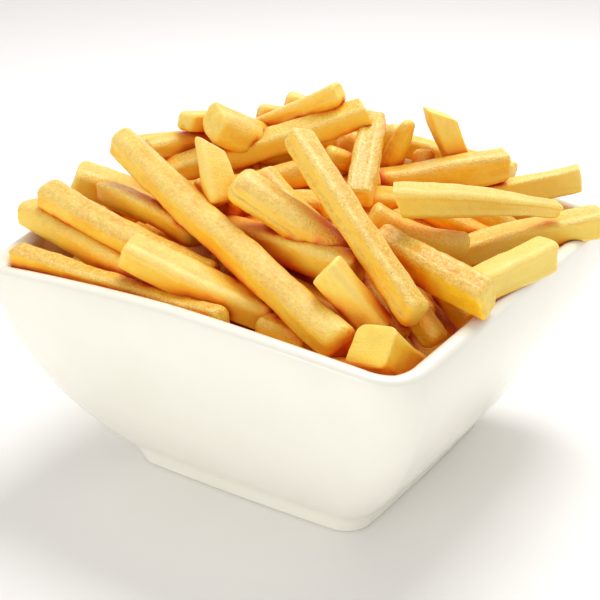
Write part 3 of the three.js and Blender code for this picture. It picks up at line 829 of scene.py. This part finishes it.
def clear_of_bowl(points):
    """Moves points out of the ceramic, inward or upward, whichever is less."""
    x, y, z = points.T
    share = np.clip((z - FLOOR_LEVEL) / (LIP_LEVEL - FLOOR_LEVEL), 0, 1)
    angle = np.arccos((1 - share) ** (1 / WALL_RISE))
    reach = np.sin(angle) ** WALL_BELLY
    half = FLOOR_HALF + (INNER_RIM["half"] - FLOOR_HALF) * reach
    corner = FLOOR_CORNER + (INNER_RIM["corner"] - FLOOR_CORNER) * reach
    bulge = FOOT_BULGE + (RIM_BULGE - FOOT_BULGE) * reach
    straight = half - corner
    flat = np.minimum(abs(x), abs(y)) / np.maximum(straight, 1)
    bow = bulge * np.clip(1 - flat ** 2, 0, 1)
    past = np.column_stack([abs(x) - straight - bow * (abs(x) > abs(y)),
                            abs(y) - straight - bow * (abs(y) >= abs(x))])
    over = np.maximum(past, 0)
    beyond = np.hypot(over[:, 0], over[:, 1]) + np.minimum(past.max(axis=1), 0) - corner
    into = beyond + FRY_GAP
    arch = RIM_ARCH * (1 - np.clip(np.minimum(abs(x), abs(y)) / RIM_HALF, 0, 1) ** ARCH_SHAPE)
    off_crest = (beyond - WALL_THICK / 2) / (WALL_THICK / 2)
    lip = LIP_LEVEL + arch + LIP_HIGH * np.sqrt(np.clip(1 - off_crest ** 2, 0, 1))
    rise = lip + FRY_GAP - z
    inside = (into > 0) & (rise > 0) & (beyond < WALL_THICK + 1)
    inward = inside & (into < rise)
    upward = inside & ~inward
    way = over / np.maximum(np.hypot(over[:, 0], over[:, 1]), 1e-6)[:, None]
    moved = points.copy()
    moved[inward, 0] -= np.sign(x[inward]) * way[inward, 0] * into[inward]
    moved[inward, 1] -= np.sign(y[inward]) * way[inward, 1] * into[inward]
    moved[upward, 2] += rise[upward]
    return moved, int(inside.sum())


def shape_heap(name, fries, first_number, fine=1.0):
    """Shapes a list of fries. It gives what is known of each, and one mesh of all."""
    parts, meshes, moved = [], [], 0
    for number, fry in enumerate(fries, first_number):
        points, faces, marks, outward, grid = shape_fry(fry, number, fine)
        points, dented = clear_of_bowl(points)
        parts.append((points, marks, outward, grid))
        meshes.append((points, faces))
        moved += dented
    print(f"{name}: {len(fries)} fries, {moved} points moved out of the bowl")
    return parts, join_meshes(meshes)


print("a point in the wall moves to", clear_of_bowl(np.array([[68.0, 0.0, 60.0]]))[0].round(1))

# %% [markdown]
# ## The fries that are laid one by one
# A food stylist lays the fries that show one by one, so these are not left to chance either. Each row
# gives the two ends of a fry in the heap's own directions: across, from left to right as seen from
# the near corner, back, away from that corner, and up. Then come its width and thickness, and what is
# special about it. tone runs from 0, pale, to 1, golden, and crisp from 0, smooth, to 1, blistered.
# soft is how round the long edges are, round and ragged shape the two ends, cuts slant them, and
# taperFrom and taperTo narrow them. roll turns the fry about its own line, and bow lifts its middle.

# %% Laid fries
def laid(start, finish, wide, thick, **special):
    """One fry as a row of values."""
    return {"from": start, "to": finish, "wide": wide, "thick": thick, **special}


LAID_FRIES = {
    "fries_left": [
        laid((-57.6, 8.6, 97), (7, -72, 68), 10.8, 10.5, roll=12, taperFrom=0.9, round=(1.4, 2.0),
             tone=0.6, crisp=0.6, cuts=((-2, 0), (0, 0))),
        laid((-78, -3, 85), (-27, -40, 73), 10.5, 10, tone=0.7, crisp=0.8),
        laid((-84, 1, 77), (-42, -36, 68), 11, 10, tone=0.6, crisp=0.4),
        laid((-84.5, -18.5, 71), (-23, -57, 68), 9, 8.5, soft=0.57, round=(1.2, 2.0), tone=0.75,
             crisp=1.0),
        laid((-51, -37, 81), (-10, -50, 67), 11.5, 9, roll=10, soft=0.44, round=(1.5, 2.0), tone=0.4,
             crisp=0.2),
        laid((-62, 6, 81.5), (-32, -24, 78), 9.5, 9, bow=1.5, tone=0.6, crisp=0.9, ragged=(1.2, 0.3)),
        laid((-72, 10, 84.5), (-40, 8, 71), 11, 10.5, soft=0.47, tone=0.3, crisp=0.4),
        laid((-33, -6, 87), (-20, -18, 84), 9, 9, tone=0.85, crisp=1.0),
        laid((-59, 50, 80), (-12, 37, 88), 9.5, 9, tone=0.4),
    ],
    "fries_ridge": [
        laid((-50, 14, 91), (-27, 28, 91), 8.5, 8, roll=10, tone=0.45, crisp=0.3),
        laid((-39, 18, 99), (-24, 30, 96), 9, 7, tone=0.3, crisp=0.3),
        laid((-30, 9, 102), (2, 40, 79), 13, 12, roll=20, tone=0.55, crisp=0.5, ragged=(0.7, 0.2)),
        laid((-30, -9, 104), (-25, -22, 87), 10, 8, taperFrom=0.8, soft=0.34, round=(0.8, 1.5), tone=0.15,
             crisp=0.1, cuts=((9, 0), (0, 0))),
        laid((-45, 12, 84), (17, 18, 102), 9.5, 9, roll=10, soft=0.54, round=(1.5, 1.0), tone=0.35,
             crisp=0.7),
        laid((-25, 34, 88), (9, 19, 108), 8.5, 8, tone=0.35, crisp=0.3),
        laid((-17, 34, 97), (3, 40, 92), 8, 7, tone=0.3, crisp=0.3),
        laid((-9, 33, 101), (12, 38, 93), 8, 8, tone=0.3, crisp=0.3),
        laid((3, 8, 92), (18, 12, 85), 9, 8, tone=0.9, crisp=0.4),
        laid((8, 26, 91), (21, 30, 85), 8, 8, tone=0.5, crisp=0.3),
        laid((19.5, 27, 99.5), (12.8, -12, 85), 9.4, 9.5, taperFrom=0.8, soft=0.52, round=(1.0, 1.6),
             tone=0.4, crisp=1.1, cuts=((0, 3), (0, 0))),
        laid((29.5, 21, 99), (21, 23, 76), 11.5, 9, taperFrom=0.5, round=(1.5, 1.5), tone=0.75,
             crisp=0.5),
        laid((35, 26, 88), (33, 20, 78), 8, 8, tone=0.75, crisp=0.5),
        laid((37, 24, 103.5), (49, 26, 74), 11.5, 8, soft=0.37, round=(0.8, 1.0), tone=0.0, crisp=0.2,
             cuts=((0, 7), (0, 0))),
    ],
    "fries_middle": [
        laid((-5, -20, 107), (26, -66, 73), 10.6, 10, roll=-12, soft=0.72, round=(2.0, 2.0), tone=0.55,
             crisp=0.9),
        laid((-22, -26, 96), (9, -41, 79), 11, 10.5, soft=0.72, round=(3, 1.5), tone=0.5, crisp=0.8),
        laid((-15, -10, 92), (8, -30, 76), 9, 9, tone=0.85, crisp=0.5),
        laid((-27, -18, 79), (12, -50, 79), 10.5, 10, tone=0.45, crisp=0.6),
        laid((2, -59, 85), (17, -62, 68), 9, 9, roll=10, soft=0.42, round=(1.0, 1.5), tone=0.0,
             crisp=0.2),
        laid((13, -79.5, 73), (23, -67, 59), 12.5, 12, roll=-6, soft=0.46, round=(0.8, 1.5), tone=0.8,
             crisp=0.2),
        laid((2, -73, 62), (24, -71, 61), 9, 9, tone=0.9, crisp=0.3),
        laid((-15, -55, 67), (-1, -63, 64), 8, 8, tone=0.9, crisp=0.5),
        laid((22, -50, 74), (32, -62, 64), 8.5, 8, tone=0.85, crisp=0.4),
        laid((11, -38, 75), (23, -56, 63), 9, 9, tone=0.9, crisp=0.3),
    ],
    "fries_right": [
        laid((16.5, -35.5, 82.5), (45.5, -66.5, 78), 10.5, 10, roll=10, tone=1.0, crisp=1.0,
             cuts=((0, 0), (3, 2))),
        laid((33, -39, 71), (42, -45, 62), 9, 8, tone=0.85, crisp=0.4),
        laid((15, -26, 86), (43.5, -27.5, 77), 10.5, 10, bow=-3, soft=0.77, round=(1.5, 3), tone=0.6,
             crisp=0.6),
        laid((16.5, -40, 96), (71, -10.4, 81.5), 10.5, 9.5, roll=15, taperTo=0.48, soft=0.62,
             round=(0.8, 2.2), tone=0.2, crisp=0.4, cuts=((7.5, -8), (0, 0))),
        laid((15, 12, 80), (59.5, 16, 86.5), 12, 11.5, soft=0.47, round=(1.5, 1.0), tone=0.5, crisp=0.6),
        laid((51, 17, 76), (82, 16, 82), 9, 9, soft=0.5, round=(1.5, 0.8), tone=0.1, crisp=0.5),
        laid((30, -22, 69.5), (85, -5, 76.5), 10.5, 9.5, soft=0.62, tone=0.35, crisp=0.5),
        laid((40.5, -56, 77.5), (64.5, -33, 78), 9.5, 9, soft=0.44, round=(1.0, 2.2), tone=0.12,
             crisp=0.1),
        laid((73, 24, 71), (54, 20, 60), 8, 8, tone=0.8, crisp=0.4),
    ],
}
heap, shapes = [], {}
for name, fries in LAID_FRIES.items():
    shapes[name] = shape_heap(name, fries, len(heap), fine=1.6)
    heap += fries
print("laid by hand:", len(heap))

# %% [markdown]
# ## The fries that fall where they may
# The rest of the heap isn't arranged. A physics simulation could drop it, but it might settle
# otherwise on another computer. Here a rule lets one fry after another fall at a random place and
# heading, along the heap's surface, and keeps it at the lowest height where it is clear of those
# before it. The rule and its series of random numbers are those of the plain model, so nearly the
# same fries come out. Two deeper layers are added here only, one under the whole heap and one of
# shorter fries at the back and in the corners, so that a look between two fries meets a third.

# %% Rules for the fall
SEED = 1555
DROP_LENGTH, DROP_SIZE, DROP_ROLL, DROP_ACROSS = (34, 76), (8, 11), (-20, 20), (-80, 80)
WALL_ROOM, LIFT_STEP = 5, 1
RIDGE_HIGH, RIDGE_FALL, RIDGE_BACK, BACK_SLOPE = 100, 0.0036, 15, 0.3
DROPS = [
    {"tries": 1200, "back": (-90, 90), "lift": (-17, -10), "nestle": 0.6},
    {"tries": 4000, "back": (24, 92), "lift": (-4, 8), "nestle": 0.8},
]
DEEP_DROPS = [
    {"tries": 1500, "back": (-90, 90), "lift": (-19, -11), "nestle": 0.45},
    {"tries": 3500, "across": (-98, 98), "back": (-12, 98), "lift": (-19, -9), "nestle": 0.75,
     "length": (16, 40), "room": 1},
]
DRAW_FACTOR, DRAW_LIMIT = 16807, 2147483647
drawn = SEED


def draw(low, high):
    """The next number of a fixed series, between low and high."""
    global drawn
    drawn = (drawn * DRAW_FACTOR) % DRAW_LIMIT
    return low + (high - low) * drawn / DRAW_LIMIT


print("rules for the fall:", len(DROPS), "and", len(DEEP_DROPS), "deeper")

# %% [markdown]
# ## Where a fry may lie
# Three questions decide it: whether the fry is clear of the others, whether it is below the ridge,
# and whether it is inside the wall. To test all faces against each other would be exact, but slow.
# The distance between two centre lines takes a few lines of arithmetic, and fries are so alike in
# thickness that it is enough.

# %% Where a fry may lie
def line_distance(one, other):
    """Smallest distance between the centre lines of two fries."""
    p, q = np.array(one["from"], float), np.array(other["from"], float)
    u, v = np.array(one["to"]) - p, np.array(other["to"]) - q
    apart = p - q
    uu, uv, vv, ud, vd = u @ u, u @ v, v @ v, u @ apart, v @ apart
    clamp = lambda value: min(max(value, 0), 1)
    s = clamp((uv * vd - vv * ud) / (uu * vv - uv * uv))
    t = clamp((uv * s + vd) / vv)
    s = clamp((uv * t - ud) / uu)
    return math.dist(apart + u * s, v * t)


def clear_of(fry, others, nestle):
    """Whether a fry is far enough from others. nestle is the share of their thickness that stays free."""
    own = fry["wide"] + fry["thick"]
    return all(line_distance(fry, o) >= nestle * (own + o["wide"] + o["thick"]) / 4 for o in others)


def below_ridge(place):
    """Whether a place is lower than the ridge, which falls off to both sides and to the back."""
    return place[2] < RIDGE_HIGH - RIDGE_FALL * place[0] ** 2 - BACK_SLOPE * (place[1] - RIDGE_BACK)


def inside_walls(place, room=WALL_ROOM):
    """Whether a place keeps clear of the bowl's inner wall."""
    x, y, z = in_bowl(place)
    share = min(max((z - FLOOR_LEVEL) / (LIP_LEVEL - FLOOR_LEVEL), 0), 1)
    reach = math.sin(math.acos((1 - share) ** (1 / WALL_RISE))) ** WALL_BELLY
    corner = FLOOR_CORNER + (INNER_RIM["corner"] - FLOOR_CORNER) * reach
    straight = FLOOR_HALF + (INNER_RIM["half"] - FLOOR_HALF) * reach - corner
    past = (abs(x) - straight, abs(y) - straight)
    beyond = math.hypot(max(past[0], 0), max(past[1], 0))
    return beyond + min(max(past), 0) < corner - room


print("the middle of the heap is below the ridge:", below_ridge((0, RIDGE_BACK, HEAP_EDGE)))

# %% [markdown]
# ## Letting fries fall
# Each fry is tried at one place and heading, from the lowest height up, and the first height at which
# it may lie is kept. Most tries find none, so thousands are made, and the gaps fill by themselves.

# %% Falling fries
def drop_fry(heap, drop):
    """Lets one fry fall. It is added to the heap if it finds a place."""
    across, away = draw(*drop.get("across", DROP_ACROSS)), draw(*drop["back"])
    heading, reach = draw(0, math.pi), draw(*drop.get("length", DROP_LENGTH)) / 2
    room = drop.get("room", WALL_ROOM)
    wide, thick, roll = draw(*DROP_SIZE), draw(*DROP_SIZE), draw(*DROP_ROLL)
    step = (reach * math.cos(heading), reach * math.sin(heading))
    ends = [(across - step[0], away - step[1]), (across + step[0], away + step[1])]
    for lift in range(drop["lift"][0], drop["lift"][1] + 1, LIFT_STEP):
        start, finish = [(*end, heap_surface(*in_bowl((*end, 0))[:2]) + lift) for end in ends]
        middle = (across, away, (start[2] + finish[2]) / 2)
        if not all(below_ridge(place) for place in (start, finish, middle)):
            return
        fry = {"from": start, "to": finish, "wide": wide, "thick": thick, "roll": roll}
        if inside_walls(start, room) and inside_walls(finish, room) and clear_of(fry, heap, drop["nestle"]):
            heap.append(fry)
            return


def let_fall(heap, drops):
    """Lets fries fall by each rule in turn, and gives those that found a place."""
    before = len(heap)
    for drop in drops:
        for _ in range(drop["tries"]):
            drop_fry(heap, drop)
    return heap[before:]


fallen = let_fall(heap, DROPS)
shapes["fries_fallen"] = shape_heap("fries_fallen", fallen, 100, fine=1.3)

# %% [markdown]
# ## Deeper fries
# Between two fries on top there are more fries to see, and more below those. The deeper ones are
# golden and have fewer points, because only small parts of them show.

# %% Deep fries
deep = let_fall(heap, DEEP_DROPS)
for fry in deep:
    fry.update(tone=0.9, crisp=0.5)
shapes["fries_deep"] = shape_heap("fries_deep", deep, 300, fine=0.8)

# %% [markdown]
# ## How free the air around each point is
# The crust material paints the bounced light and shade of the gaps by how deep in a gap a point lies,
# and sets its gloss by it too. A renderer can work this out by itself, but a number stored with each
# point is quicker, and it stays with the mesh wherever it goes.
# From every few points of a fry, short looks go out in all directions, and a tree of all faces tells
# how far each gets. The points between them take the values in between.

# %% Openness
LOOKS, LOOK_REACH, LOOK_START, FLATTEST_LOOK = 22, 18, 0.35, 0.08
ROW_STEP, RING_STEP = 4, 4


def look_directions(count):
    """Directions spread evenly over a sphere, by a golden spiral."""
    turn = np.arange(count) * math.pi * (3 - math.sqrt(5))
    rise = 1 - (2 * np.arange(count) + 1) / count
    flat = np.sqrt(1 - rise ** 2)
    return np.column_stack([flat * np.cos(turn), flat * np.sin(turn), rise])


def openness_at(point, outward, looks, tree):
    """How far the looks from a point get, as a share of their reach. Looks straight out count most."""
    weight = looks @ outward
    total = free = 0.0
    for share, look in zip(weight, looks):
        if share > FLATTEST_LOOK:
            distance = tree.ray_cast(point + outward * LOOK_START, look, LOOK_REACH)[3]
            total += share
            free += share * (1.0 if distance is None else distance / LOOK_REACH)
    return free / total


def openness_of(points, outward, grid, looks, tree):
    """The openness of all points of one fry, worked out on a coarse grid and spread over the rest."""
    rows, count = grid
    some_rows = np.append(np.arange(0, rows - 1, ROW_STEP), rows - 1)
    some_ring = np.arange(0, count, RING_STEP)
    known = np.array([[openness_at(points[r * count + c], outward[r * count + c], looks, tree)
                       for c in some_ring] for r in some_rows])
    closed = np.column_stack([known, known[:, 0]])
    ring = np.array([np.interp(np.arange(count), np.append(some_ring, count), line) for line in closed])
    full = np.array([np.interp(np.arange(rows), some_rows, column) for column in ring.T]).T
    return np.append(full.ravel(), [full[0].mean(), full[-1].mean()])


print("looks from a point:", len(look_directions(LOOKS)))

# %% [markdown]
# ## The pieces of the heap
# Each group of fries becomes one mesh, so that the scene has a handful of pieces and not a hundred.
# All of them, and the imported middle, stand for the same node of the plain model. Every piece gets its
# openness first, measured with all the others in place.

# %% Pieces of the heap
heap_meshes = [mesh for _, mesh in shapes.values()]
tree = BVHTree.FromPolygons(*join_meshes([bowl_mesh, core_mesh, *heap_meshes]))
looks = look_directions(LOOKS)
points, faces = core_mesh
same = np.ones(len(points))
marks = {"grain": points * MM, "tone": 0.95 * same, "crisp": 0.5 * same, "edge": 0 * same, "end": 0 * same}
marks["open"] = np.array([openness_at(point, np.array([0.0, 0.0, 1.0]), looks, tree) for point in points])
make_piece("fries_core", points, faces, crust, "fries", "crust", **marks)
for name, (parts, (points, faces)) in shapes.items():
    marks = {key: np.concatenate([part[1][key] for part in parts]) for key in parts[0][1]}
    marks["open"] = np.concatenate([openness_of(*(part[0], part[2], part[3]), looks, tree) for part in parts])
    print(name, "openness from", marks["open"].min().round(2), "to", marks["open"].max().round(2))
    make_piece(name, points, faces, crust, "fries", "crust", **marks)

# %% [markdown]
# ## The floor
# The bowl stands on a sheet of white paper or board. A curved backdrop could hide the horizon, but a
# sheet that is large enough does so too. It is only a stage for the light, with a faint unevenness in
# its colour.

# %% Floor
SHEET_HALF, SHEET_LINES = 9000, 13

paper, tree, shader = new_material("white_board", Roughness=0.7, Specular_IOR_Level=0.15)
place = tree.nodes.new("ShaderNodeTexCoord").outputs["Object"]
cloud = add_node(tree, "ShaderNodeGroup", node_tree=mottle, Patches=3.0, Specks=20.0,
                 links=[("Place", place)]).outputs["Mask"]
shade = mix_colours(tree, linear(250, 248, 247), linear(251, 249, 248), cloud)
tree.links.new(shade, shader.inputs["Base Color"])

steps = np.linspace(-SHEET_HALF, SHEET_HALF, SHEET_LINES)
grid = np.array([(x, y, 0) for y in steps for x in steps])
starts = [r * SHEET_LINES + c for r in range(SHEET_LINES - 1) for c in range(SHEET_LINES - 1)]
faces = [(a, a + 1, a + SHEET_LINES + 1, a + SHEET_LINES) for a in starts]
mesh = bpy.data.meshes.new("floor")
mesh.from_pydata((grid * MM).tolist(), [], faces)
mesh.materials.append(paper)
floor = bpy.data.objects.new("floor", mesh)
bpy.context.collection.objects.link(floor)
print("floor:", len(mesh.polygons), "faces")
